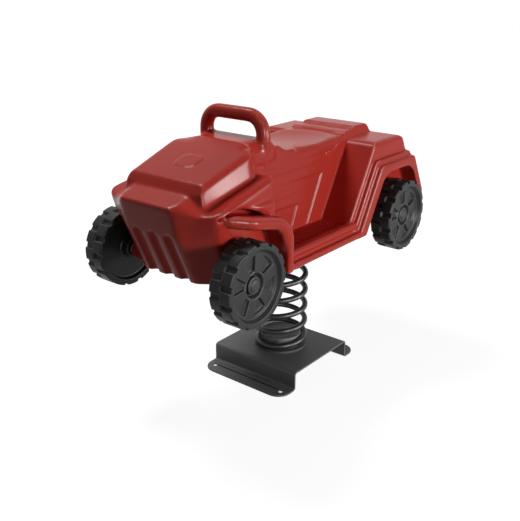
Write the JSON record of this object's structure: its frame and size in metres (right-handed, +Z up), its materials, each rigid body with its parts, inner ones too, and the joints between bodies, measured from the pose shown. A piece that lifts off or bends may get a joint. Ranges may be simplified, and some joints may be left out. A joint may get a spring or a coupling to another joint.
{
  "type": "spring rider",
  "caption": "Playground spring rider: an open moulded car body with seat, footboards, handle bow and lugged wheels, rocking on a coil spring above a bent ground plate.",
  "frame": {"origin": "on the ground under the spring, at the middle of the four ground-bolt holes", "axes": "+X forward, to the nose of the car; +Y to the rider's left; +Z up"},
  "size_m": [0.9298, 0.478, 0.7815],
  "materials": {
    "body": "red moulded plastic, satin to glossy",
    "wheel": "dark grey moulded plastic, satin",
    "hub_cap": "dark grey moulded plastic, satin",
    "coated_steel": "dark powder coat",
    "spring_steel": "dark powder coat",
    "seat_ring": "dark nylon",
    "bush": "natural nylon",
    "axle": "zinc plated",
    "fastener": "black oxide"
  },
  "bodies": {
    "base": {"ground_plate": "coated_steel", "lower_seat_ring": "seat_ring", "lower_spring_cup": "coated_steel", "lower_coil_bolts": "fastener", "lower_coil_nuts": "fastener"},
    "coil": {"spring": "spring_steel"},
    "rider": {"upper_seat_ring": "seat_ring", "upper_spring_cup": "coated_steel", "upper_coil_bolts": "fastener", "upper_coil_nuts": "fastener", "mount_plate": "coated_steel", "mount_washers": "fastener", "mount_bolts": "fastener", "body_inserts": "fastener", "body_shell": "body", "front_axle": "axle", "rear_axle": "axle", "axle_bushes_front": "bush", "axle_bushes_rear": "bush", "wheel_washers": "fastener", "axle_push_nuts": "fastener"},
    "wheel_front_left": {"front_left_wheel": "wheel", "front_left_hub_cap": "hub_cap"},
    "wheel_front_right": {"front_right_wheel": "wheel", "front_right_hub_cap": "hub_cap"},
    "wheel_rear_left": {"rear_left_wheel": "wheel", "rear_left_hub_cap": "hub_cap"},
    "wheel_rear_right": {"rear_right_wheel": "wheel", "rear_right_hub_cap": "hub_cap"}
  },
  "joints": [
    {"name": "rock_fore_aft", "type": "hinge", "parent": "base", "child": "coil", "pos_m": [0, 0, 0.152], "axis": [0, 1, 0], "range_deg": [-15, 15], "stiffness_Nm_per_rad": 450, "deforming": ["spring"]},
    {"name": "rock_sideways", "type": "hinge", "parent": "coil", "child": "rider", "pos_m": [0, 0, 0.31], "axis": [1, 0, 0], "range_deg": [-12, 12], "stiffness_Nm_per_rad": 450, "deforming": ["spring"]},
    {"name": "spin_front_left", "type": "hinge", "parent": "rider", "child": "wheel_front_left", "pos_m": [0.4, 0.209, 0.42753], "axis": [0, 1, 0], "continuous": true},
    {"name": "spin_front_right", "type": "hinge", "parent": "rider", "child": "wheel_front_right", "pos_m": [0.4, -0.209, 0.42753], "axis": [0, 1, 0], "continuous": true},
    {"name": "spin_rear_left", "type": "hinge", "parent": "rider", "child": "wheel_rear_left", "pos_m": [-0.28, 0.209, 0.42753], "axis": [0, 1, 0], "continuous": true},
    {"name": "spin_rear_right", "type": "hinge", "parent": "rider", "child": "wheel_rear_right", "pos_m": [-0.28, -0.209, 0.42753], "axis": [0, 1, 0], "continuous": true}
  ]
}
